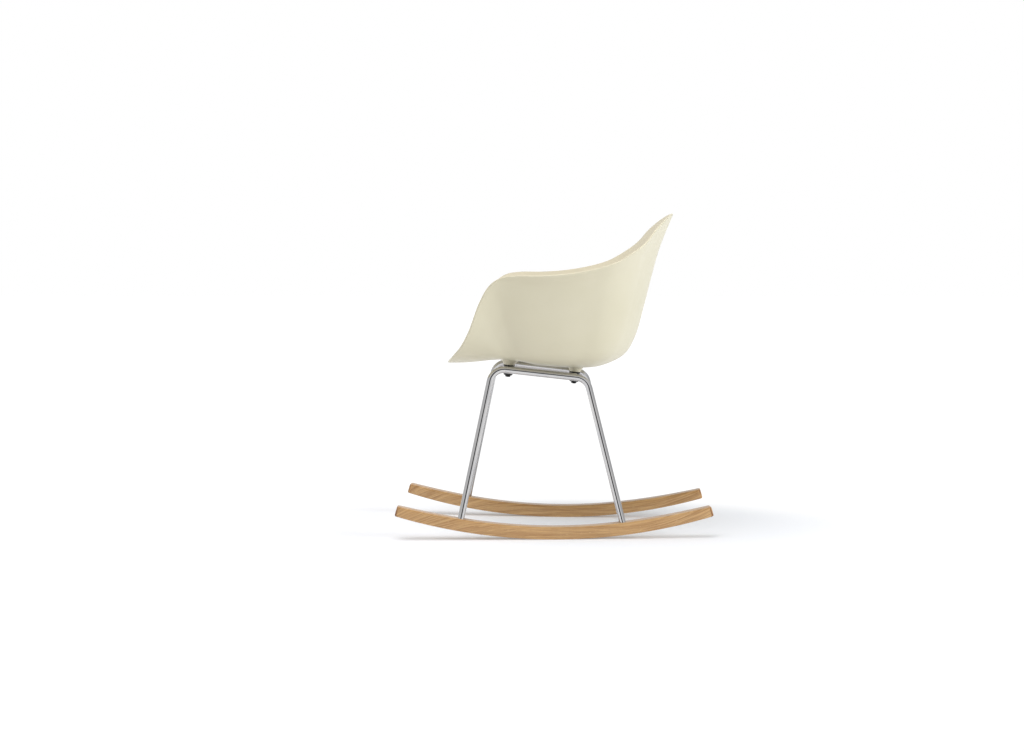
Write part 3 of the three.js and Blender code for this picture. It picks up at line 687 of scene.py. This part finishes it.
def shell_skins():
    """Points and quads of the tub's wall with a rounded rim"""
    grid = shell_middle()
    round_way = np.roll(grid, -1, axis=0) - np.roll(grid, 1, axis=0)
    out_way = np.gradient(grid, axis=1)
    normals = np.cross(round_way, out_way)
    normals[:, 0] = normals[:, 1].mean(axis=0)
    normals /= np.linalg.norm(normals, axis=2, keepdims=True)
    normals *= np.sign(normals[0, 1, 2])
    half = SHELL_THICKNESS / 2
    edge_way = out_way[:, -1] - normals[:, -1] * (out_way[:, -1] * normals[:, -1]).sum(1, keepdims=True)
    edge_way /= np.linalg.norm(edge_way, axis=1, keepdims=True)
    grid[:, -1] -= edge_way * half
    points = [grid[0, 0] + normals[0, 0] * half]
    for step in range(1, SHELL_WALL_STEPS + 1):
        points.extend(grid[:, step] + normals[:, step] * half)
    for step in range(1, SHELL_EDGE_STEPS):
        angle = math.pi * step / SHELL_EDGE_STEPS
        points.extend(grid[:, -1] + half * (normals[:, -1] * math.cos(angle) + edge_way * math.sin(angle)))
    for step in range(SHELL_WALL_STEPS, 0, -1):
        points.extend(grid[:, step] - normals[:, step] * half)
    points.append(grid[0, 0] - normals[0, 0] * half)
    count = SHELL_ROUND_STEPS
    rows = 2 * SHELL_WALL_STEPS + SHELL_EDGE_STEPS - 1
    faces = [(0, 1 + i, 1 + (i + 1) % count) for i in range(count)]
    for row in range(rows - 1):
        faces += ring_faces(1 + row * count, 1 + (row + 1) * count, count)
    last, end = len(points) - 1, 1 + (rows - 1) * count
    faces += [(last, end + (i + 1) % count, end + i) for i in range(count)]
    return np.array(points), faces


def boss_form(place, under):
    """A tapered boss with a fillet where it grows out of the seat. under gives the seat's lower face."""
    base = place["at"] + RING_UP * BOSS_LOW
    sides = 72
    slope = (BOSS_RADIUS_HIGH - BOSS_RADIUS_LOW) / place["boss"]
    e1, e2 = frame_across(RING_UP, vec(1, 0, 0))

    def face_height(direction, radius):
        start = base + direction * radius - RING_UP
        hit = under.ray_cast(Vector(start), Vector(RING_UP))
        return hit[3] - 1

    columns = []
    for i in range(sides):
        angle = 2 * math.pi * i / sides
        direction = e1 * math.cos(angle) + e2 * math.sin(angle)
        meet = BOSS_RADIUS_LOW
        for _ in range(6):
            meet = BOSS_RADIUS_LOW + slope * face_height(direction, meet)
        high = face_height(direction, meet)
        start = np.array([BOSS_RADIUS_LOW + slope * high * 0.4, high * 0.4])
        corner = np.array([meet, high])
        end = np.array([meet + BOSS_FILLET, face_height(direction, meet + BOSS_FILLET) + BOSS_SINK])
        profile = [(BOSS_RADIUS_LOW - 0.8, 0.0), (BOSS_RADIUS_LOW - 0.25, 0.2), (BOSS_RADIUS_LOW + 0.3, 0.8)]
        for t in np.linspace(0, 1, 9):
            profile.append(start * (1 - t) ** 2 + corner * 2 * t * (1 - t) + end * t ** 2)
        columns.append([base + direction * r + RING_UP * h for r, h in profile])
    rings = np.array(columns).transpose(1, 0, 2)
    middle = base + RING_UP * (face_height(e1, 0.0) + SHELL_THICKNESS / 2)
    points = np.vstack([rings.reshape(-1, 3), [base, middle]])
    faces = []
    for k in range(len(rings) - 1):
        faces += ring_faces(k * sides, (k + 1) * sides, sides)
    low, high, end = len(points) - 2, len(points) - 1, (len(rings) - 1) * sides
    faces += [(low, (i + 1) % sides, i) for i in range(sides)]
    faces += [(high, end + i, end + (i + 1) % sides) for i in range(sides)]
    return points, faces


def joined(name, forms):
    """Several closed forms that don't touch, as one mesh"""
    points, faces = [], []
    for form_points, form_faces in forms:
        start = sum(len(p) for p in points)
        points.append(form_points)
        faces += [tuple(start + i for i in face) for face in form_faces]
    return mesh_object(name, np.vstack(points), faces)


def seat_shell():
    points, faces = shell_skins()
    shell = mesh_object("tub_shell", points, faces, 50)
    under = BVHTree.FromPolygons([tuple(p) for p in points], faces)
    combine(shell, joined("bosses", [boss_form(place, under) for place in BOLTS]), "UNION", 40)
    for place in BOLTS:
        radius = INSERT_RADIUS + TOUCH_GAP
        mouth = INSERT_LOW + INSERT_FLANGE + TOUCH_GAP
        profile = [(0, BOSS_LOW - 1), (radius + INSERT_FLANGE, BOSS_LOW - 1), (radius + INSERT_FLANGE, mouth),
                   (radius, mouth), (radius, INSERT_HIGH + TOUCH_GAP), (0, INSERT_HIGH + TOUCH_GAP)]
        combine(shell, turned_form("bore", place["at"], RING_UP, profile, 48), "DIFFERENCE", 40)
    kept_inside(shell, "seat_shell")
    return finish_piece(shell, [plastic], "shell_plastic", "seat_shell")


seat_shell()


# ---------------------------------------------------------------- chromed frame

for side, sign in SIDES:
    corners = [mirrored(p, sign) for p in
               (FRONT_LEG["end"], FRONT_LEG["corner"], REAR_LEG["corner"], REAR_LEG["end"])]
    tube = hollow_tube(f"bent_leg_tube_{side}", bent_route(corners, FRAME_BEND_RADIUS, steps=18),
                       TUBE_RADIUS, TUBE_RADIUS - TUBE_WALL)
    finish_piece(tube, [chrome], "chrome", f"side_frame_{side}")

ring_corners = [vec(sign * ring_out(along), along, top_height(along))
                for along, sign in ((RING_FRONT, 1), (RING_REAR, 1), (RING_REAR, -1), (RING_FRONT, -1))]
ring_route = bent_route(ring_corners, RING_CORNER_RADIUS, closed=True, steps=12)


def bolt_hole(place, reach):
    return drill(place["at"], RING_UP, -reach, reach, BOLT_RADIUS + TOUCH_GAP)


def seat_ring():
    ring = ring_tube("ring_tube", ring_route, TUBE_RADIUS)
    combine(ring, ring_tube("bore", ring_route, TUBE_RADIUS - TUBE_WALL), "DIFFERENCE")
    for place in BOLTS:
        combine(ring, bolt_hole(place, 2 * TUBE_RADIUS), "DIFFERENCE")
    return finish_piece(ring, [chrome], "chrome", "seat_ring")


seat_ring()


def stretcher(leg, height):
    """A rod between two legs, with its turned-down tails along their inner sides"""
    share = (height - leg["foot"][2]) / (leg["corner"][2] - leg["foot"][2])
    on_leg = leg["foot"] + (leg["corner"] - leg["foot"]) * share
    across = unit(vec(-1, 0, 0) + leg["axis"] * leg["axis"][0])
    shoulder = on_leg + across * (TUBE_RADIUS + ROD_RADIUS + TOUCH_GAP)
    tail = shoulder - leg["axis"] * ROD_TAIL
    stations = bent_route([tail, shoulder, mirrored(shoulder, -1), mirrored(tail, -1)],
                          ROD_BEND_RADIUS, steps=12)
    inset = 0.8
    (start, away), (end, onward) = stations[0], stations[-1]
    route = [stations[0], (start + away * inset, away), *stations[1:-1],
             (end - onward * inset, onward), stations[-1]]
    radii = [ROD_RADIUS - inset] + [ROD_RADIUS] * (len(route) - 2) + [ROD_RADIUS - inset]
    rod = solid_rod(f"cross_rod_{leg['name']}", route, radii)
    finish_piece(rod, [chrome], "chrome", f"stretcher_{leg['name']}")
    return shoulder, across


def weld_bead(name, start, end, radius, ripple_start):
    """A short bead of weld metal with soft ripples and tapered ends"""
    steps = 26
    axis = unit(end - start)
    phase = 1.7 * ripple_start
    stations, radii = [], []
    for k in range(steps + 1):
        share = k / steps
        swell = math.sin(math.pi * min(max(share, 0.02), 0.98)) ** 0.35
        ripple = 1 + 0.07 * math.sin(share * 38 + phase)
        stations.append((start + (end - start) * share, axis))
        radii.append(radius * swell * ripple)
    bead = solid_rod(name, stations, radii, 16)
    return finish_piece(bead, [chrome], "chrome")


def stretcher_welds(leg, shoulder, across):
    """Beads in the grooves where a rod's tail lies along a leg"""
    apart = TUBE_RADIUS + ROD_RADIUS + TOUCH_GAP
    to_leg, to_rod = TUBE_RADIUS + 0.6 * ROD_WELD_RADIUS, ROD_RADIUS + 0.6 * ROD_WELD_RADIUS
    inward = (apart ** 2 + to_leg ** 2 - to_rod ** 2) / (2 * apart)
    sideways = math.sqrt(to_leg ** 2 - inward ** 2)
    other = np.cross(leg["axis"], across)
    middle = shoulder - across * apart - leg["axis"] * (ROD_TAIL * ROD_WELD_PLACE)
    for side, sign in SIDES:
        for groove, way in (("fore", 1), ("aft", -1)):
            at = middle + across * inward + other * (sideways * way)
            ends = [mirrored(at + leg["axis"] * reach, sign) for reach in (-ROD_WELD_REACH, ROD_WELD_REACH)]
            weld_bead(f"weld_rod_{leg['name']}_{side}_{groove}", *ends, ROD_WELD_RADIUS, sign + way)


for leg, height in ((FRONT_LEG, FRONT_ROD_HEIGHT), (REAR_LEG, REAR_ROD_HEIGHT)):
    stretcher_welds(leg, *stretcher(leg, height))


def ring_welds():
    """Beads over and under the line where the ring lies against each top tube"""
    apart = 2 * TUBE_RADIUS + TOUCH_GAP
    up = math.sqrt((TUBE_RADIUS + 0.55 * RING_WELD_RADIUS) ** 2 - (apart / 2) ** 2)
    for side, sign in SIDES:
        for end, low, high in RING_WELD_RUNS:
            for face, way in (("over", 1), ("under", -1)):
                ends = [vec(sign * (ring_out(y) + apart / 2), y, top_height(y)) + RING_UP * up * way
                        for y in (low, high)]
                weld_bead(f"weld_ring_{end}_{side}_{face}", *ends, RING_WELD_RADIUS, sign + 2 * way)


ring_welds()


# ---------------------------------------------------------------- fixings under the seat

def saddle_and_cup(place):
    """The two black blocks that hold the ring between them, cut to its round"""
    low = TOUCH_GAP
    high = TUBE_RADIUS + SADDLE_RISE
    neck = high - SADDLE_FLANGE_HEIGHT
    edge = 0.6
    profile = [(0, low), (CLAMP_RADIUS - 0.3, low), (CLAMP_RADIUS, low + 0.3), (CLAMP_RADIUS, neck - 0.4),
               (CLAMP_RADIUS + 0.1, neck - 0.1), (CLAMP_RADIUS + 0.4, neck), (SADDLE_RADIUS - 0.4, neck),
               (SADDLE_RADIUS, neck + 0.4), (SADDLE_RADIUS, high - edge), (SADDLE_RADIUS - 0.18, high - 0.18),
               (SADDLE_RADIUS - edge, high), (0, high)]
    saddle = turned_form(f"spacer_{place['name']}", place["at"], RING_UP, profile)
    foot = -TUBE_RADIUS - CUP_DEPTH
    foot_radius = CLAMP_RADIUS - CUP_TAPER
    profile = [(0, foot), (foot_radius - 0.9, foot), (foot_radius - 0.26, foot + 0.26),
               (foot_radius, foot + 0.9), (CLAMP_RADIUS, -0.3),
               (CLAMP_RADIUS - 0.3, 0), (0, 0)]
    cup = turned_form(f"clamp_{place['name']}", place["at"], RING_UP, profile)
    for piece, node in ((saddle, "saddle"), (cup, "cup")):
        clearance = ring_tube("clearance", ring_route, TUBE_RADIUS + TOUCH_GAP)
        combine(piece, clearance, "DIFFERENCE")
        combine(piece, bolt_hole(place, 2 * TUBE_RADIUS), "DIFFERENCE")
        kept_inside(piece, f"{node}_{place['name']}")
        finish_piece(piece, [nylon], "black_nylon", f"{node}_{place['name']}")


def bolt(place):
    """A flanged hexagon bolt with a domed end; its shank goes up into the insert"""
    seat = -TUBE_RADIUS - CUP_DEPTH - TOUCH_GAP
    flange = seat - BOLT_FLANGE_HEIGHT
    head = flange - BOLT_HEAD_HEIGHT
    tip = INSERT_HIGH - 0.5
    corner = BOLT_HEAD_ACROSS / 2 / math.cos(math.pi / 6)
    rings = [
        (0, tip, None), (BOLT_RADIUS - 0.7, tip, None), (BOLT_RADIUS, tip - 0.7, None),
        (BOLT_RADIUS, seat, None), (BOLT_FLANGE_RADIUS - 0.4, seat, None),
        (BOLT_FLANGE_RADIUS, seat - 0.3, None), (BOLT_FLANGE_RADIUS, flange + 0.4, None),
        (BOLT_FLANGE_RADIUS - 0.3, flange + 0.1, None), (corner + 0.3, flange, None),
        (corner, flange - 0.2, BOLT_HEAD_ACROSS), (corner, head + 1.1, BOLT_HEAD_ACROSS),
        (corner - 0.4, head + 0.5, BOLT_HEAD_ACROSS), (corner - 1.1, head, BOLT_HEAD_ACROSS),
    ]
    dome_radius = corner - 1.4
    for share in (0.95, 0.85, 0.7, 0.5, 0.28):
        drop = BOLT_DOME_HEIGHT * (1 - share ** 2)
        rings.append((dome_radius * share, head - drop, None))
    rings.append((0, head - BOLT_DOME_HEIGHT, None))
    piece = turned_form(f"hex_bolt_{place['name']}", place["at"], RING_UP,
                        [(r, h) for r, h, _ in rings], 72, [a for _, _, a in rings], 32)
    kept_inside(piece, f"bolt_{place['name']}")
    finish_piece(piece, [dark_steel], "black_steel", f"bolt_{place['name']}")


for place in BOLTS:
    saddle_and_cup(place)
    bolt(place)


# ---------------------------------------------------------------- rockers

def rocker_section(width, depth, edge):
    """A rounded rectangle, (across, up from its foot)"""
    points = []
    for corner, (cx, cy) in enumerate(((1, -1), (1, 1), (-1, 1), (-1, -1))):
        for step in range(6):
            angle = math.radians(-90 + 90 * corner + 90 * step / 5)
            points.append((cx * (width / 2 - edge) + edge * math.cos(angle),
                           depth / 2 + cy * (depth / 2 - edge) + edge * math.sin(angle)))
    return points


def rocker(side, sign):
    """A slim crescent of oak with eased edges and rounded ends"""
    end_angle = ROCKER_END_TAPER / ROCKER_RADIUS
    ease = [1 - math.cos(math.radians(a)) for a in (0, 12, 24, 34, 44, 54, 64, 74, 82, 90)]
    angles = [FRONT_END + end_angle * e for e in ease]
    angles += list(np.linspace(FRONT_END + end_angle, REAR_END - end_angle, 130))[1:-1]
    angles += [REAR_END - end_angle * e for e in reversed(ease)]
    rings = []
    for angle in angles:
        from_end = min(angle - FRONT_END, REAR_END - angle) * ROCKER_RADIUS
        inset, inset_across = (
            deep * (1 - math.sqrt(max(0.0, 1 - max(0.0, 1 - from_end / long) ** 2)))
            for deep, long in ((ROCKER_END_ROUND, ROCKER_END_ROUND), (ROCKER_END_NARROW, ROCKER_END_TAPER)))
        depth = rocker_depth(angle)
        ring = []
        for across, up in rocker_section(ROCKER_WIDTH - 2 * inset_across, depth - 2 * inset, ROCKER_EDGE):
            y, z = rocker_point(angle, up + inset)
            turn = sign * ROCKER_SPLAY
            ring.append((across * math.cos(turn) - y * math.sin(turn) + sign * ROCKER_OFFSET,
                         across * math.sin(turn) + y * math.cos(turn), z))
        rings.append(ring)
    sides = len(rings[0])
    faces = []
    for k in range(len(rings) - 1):
        faces += ring_faces(k * sides, (k + 1) * sides, sides)
    faces.append(tuple(range(sides)))
    faces.append(tuple((len(rings) - 1) * sides + i for i in range(sides)))
    piece = mesh_object(f"oak_runner_{side}", np.array(rings).reshape(-1, 3), faces, 40)
    for material in (oak, oak_end):
        piece.data.materials.append(material)
    for leg in (FRONT_LEG, REAR_LEG):
        end, axis = mirrored(leg["end"], sign), mirrored(leg["axis"], sign)
        wood = WOOD_UNDER_LEG[leg["name"]]
        below = -2 * ROCKER_DEPTH_MIDDLE
        for low, high, radius in ((-TOUCH_GAP, 3 * SOCKET_DEPTH, TUBE_RADIUS + TOUCH_GAP),
                                  (below, 1.0, SCREW_RADIUS + TOUCH_GAP),
                                  (below, -wood, SCREW_HEAD_RADIUS + 1)):
            combine(piece, drill(end, axis, low, high, radius), "DIFFERENCE", 40)
    for face in piece.data.polygons:
        middle = face.center / MM
        at_end = abs(middle.y) > ROCKER_REACH - 2 * ROCKER_END_TAPER and abs(face.normal.y) > 0.25
        face.material_index = 1 if at_end else 0
    kept_inside(piece, f"rocker_{side}")
    finish_piece(piece, [oak, oak_end], "oak", f"rocker_{side}")


def rocker_screw(leg, side, sign):
    """A flat-headed screw with a hexagon socket, up through the rocker into the leg's plug"""
    end, axis = mirrored(leg["end"], sign), mirrored(leg["axis"], sign)
    under = -WOOD_UNDER_LEG[leg["name"]] - TOUCH_GAP
    face = under - SCREW_HEAD_HEIGHT
    tip = SCREW_REACH - TOUCH_GAP
    key = 5.0
    rings = [
        (0, under - 0.6, None), (key, under - 0.6, key), (key, face + 0.3, key), (key, face, key + 0.5),
        (SCREW_HEAD_RADIUS - 0.6, face, None), (SCREW_HEAD_RADIUS - 0.18, face + 0.18, None),
        (SCREW_HEAD_RADIUS, face + 0.6, None), (SCREW_HEAD_RADIUS, under - 0.2, None),
        (SCREW_HEAD_RADIUS - 0.2, under, None), (SCREW_RADIUS, under, None),
        (SCREW_RADIUS, tip - 0.6, None), (SCREW_RADIUS - 0.6, tip, None), (0, tip, None),
    ]
    piece = turned_form(f"socket_screw_{leg['name']}_{side}", end, axis, [(r, h) for r, h, _ in rings],
                        72, [a for _, _, a in rings], 32)
    kept_inside(piece, f"rocker_screw_{leg['name']}_{side}")
    finish_piece(piece, [zinc], "zinc_steel", f"rocker_screw_{leg['name']}_{side}")


for side, sign in SIDES:
    rocker(side, sign)
    for leg in (FRONT_LEG, REAR_LEG):
        rocker_screw(leg, side, sign)

# the hidden CAD parts keep their shapes and take worked metal finishes
for name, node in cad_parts.items():
    for prefix, material in (("insert_", brass), ("leg_plug_", zinc)):
        if name.startswith(prefix):
            node.data.materials.clear()
            node.data.materials.append(material)


# ---------------------------------------------------------------- stage, light and camera

# How bright the room's walls look in polished metal, by direction in degrees from +X towards +Y
PANELS = [
    (-180, 0.72), (-152, 0.7), (-120, 0.72), (-90, 0.66), (-60, 0.74), (-36, 0.78), (-22, 0.6), (-13, 0.14),
    (-7, 0.02), (5, 0.02), (12, 0.16), (21, 0.8), (30, 1.0), (44, 0.82), (62, 0.62), (90, 0.56), (120, 0.58),
    (152, 0.66), (180, 0.72),
]


def floor_plane():
    """A wide plain floor, which takes the shadows near the chair and is even white further out"""
    size, steps = 40.0, 8
    grid = np.linspace(-size / 2, size / 2, steps + 1) / MM
    points = [(x, y, 0) for x in grid for y in grid]
    row = steps + 1
    faces = [(i * row + j, (i + 1) * row + j, (i + 1) * row + j + 1, i * row + j + 1)
             for i in range(steps) for j in range(steps)]
    floor = mesh_object("studio_floor", points, faces)
    material, tree, shader, place = new_material("studio_white", IOR=1.45, Specular_IOR_Level=0.15)
    tone = mix(tree, noise(tree, place, 3.0, 2.0), linear(243, 247, 252), linear(246, 249, 253))
    rough = remap(tree, noise(tree, place, 40.0, 2.0), 0.3, 0.7, 0.75, 0.85)
    drive(tree, shader, Base_Color=tone, Roughness=rough)
    away = add(tree, "ShaderNodeVectorMath", {0: scaled(tree, place, (1.7, 0.95, 0.0))},
               operation="LENGTH").outputs["Value"]
    glow = add(tree, "ShaderNodeEmission", {"Color": (1, 1, 1, 1), "Strength": 1.1})
    blend = add(tree, "ShaderNodeMixShader", {
        0: remap(tree, away, 0.55, 1.05, 0.18, 1.0), 1: shader.outputs[0], 2: glow.outputs[0]})
    tree.links.new(blend.outputs[0], tree.nodes["Material Output"].inputs["Surface"])
    floor.data.materials.append(material)


floor_plane()


def studio_world():
    """An even white room for the eye and for soft light; polished metal sees panels with dark gaps"""
    world = bpy.data.worlds.new("studio")
    world.use_nodes = True
    tree = world.node_tree
    tree.nodes.clear()
    direction = add(tree, "ShaderNodeTexCoord").outputs["Generated"]
    parts = add(tree, "ShaderNodeSeparateXYZ", {0: direction})
    x, y, z = (parts.outputs[k] for k in ("X", "Y", "Z"))
    turn_share = math_node(tree, "DIVIDE", math_node(tree, "ARCTAN2", y, x), 2 * math.pi)
    panels = add(tree, "ShaderNodeValToRGB", {0: math_node(tree, "ADD", turn_share, 0.5)})
    ramp = panels.color_ramp
    for turn, shade_of in PANELS:
        place = turn / 360 + 0.5
        at_end = {-180: ramp.elements[0], 180: ramp.elements[-1]}
        stop = at_end[turn] if turn in at_end else ramp.elements.new(place)
        stop.color = (shade_of, shade_of, shade_of, 1)
    overhead = mix(tree, remap(tree, z, 0.35, 0.75), panels.outputs[0], (0.85, 0.84, 0.82, 1))
    seen = add(tree, "ShaderNodeBackground", {"Color": overhead, "Strength": 1.0})
    even = mix(tree, remap(tree, z, -0.2, 0.9), (0.975, 0.96, 0.95, 1), (1.0, 0.99, 0.98, 1))
    soft = add(tree, "ShaderNodeBackground", {"Color": even, "Strength": 0.38})
    backdrop = add(tree, "ShaderNodeBackground", {"Color": (1, 1, 1, 1), "Strength": 1.0})
    path = add(tree, "ShaderNodeLightPath")
    lit = add(tree, "ShaderNodeMixShader", {
        0: path.outputs["Is Glossy Ray"], 1: soft.outputs[0], 2: seen.outputs[0]})
    both = add(tree, "ShaderNodeMixShader", {
        0: path.outputs["Is Camera Ray"], 1: lit.outputs[0], 2: backdrop.outputs[0]})
    add(tree, "ShaderNodeOutputWorld", {"Surface": both.outputs[0]})
    bpy.context.scene.world = world


studio_world()


def soft_light(name, place, target, size, power, colour):
    """A soft rectangular lamp, in metres, which polished metal doesn't show"""
    data = bpy.data.lights.new(name, "AREA")
    data.shape = "RECTANGLE"
    data.size, data.size_y = size
    data.energy = power
    data.color = colour
    lamp = bpy.data.objects.new(name, data)
    bpy.context.scene.collection.objects.link(lamp)
    lamp.location = place
    lamp.visible_glossy = False
    lamp.rotation_euler = (Vector(target) - Vector(place)).to_track_quat("-Z", "Y").to_euler()


soft_light("key", place=(1.95, 3.65, 1.5), target=(0, 0.1, 0.55), size=(1.6, 1.6), power=108,
           colour=(0.91, 0.955, 1.0))
soft_light("top", place=(0.8, -0.7, 3.2), target=(0, 0, 0.4), size=(2.6, 2.6), power=84,
           colour=(1.0, 0.96, 0.96))

# The camera: its place in metres, its turn and tilt in radians and its lens in millimetres
CAMERA_PLACE = (4.53927, -0.00916, 0.75323)
CAMERA_TURN = 0.02293
CAMERA_TILT = 0.076098
CAMERA_LENS = 60.217

camera_data = bpy.data.cameras.new("camera")
camera_data.lens = CAMERA_LENS
camera_data.sensor_width = 36.0
camera = bpy.data.objects.new("camera", camera_data)
bpy.context.scene.collection.objects.link(camera)
camera.location = CAMERA_PLACE
looking = Vector((-math.cos(CAMERA_TILT) * math.cos(CAMERA_TURN),
                  -math.cos(CAMERA_TILT) * math.sin(CAMERA_TURN), -math.sin(CAMERA_TILT)))
camera.rotation_euler = looking.to_track_quat("-Z", "Y").to_euler()
bpy.context.scene.camera = camera

bpy.context.scene.view_settings.view_transform = "Standard"
bpy.context.scene.view_settings.look = "None"
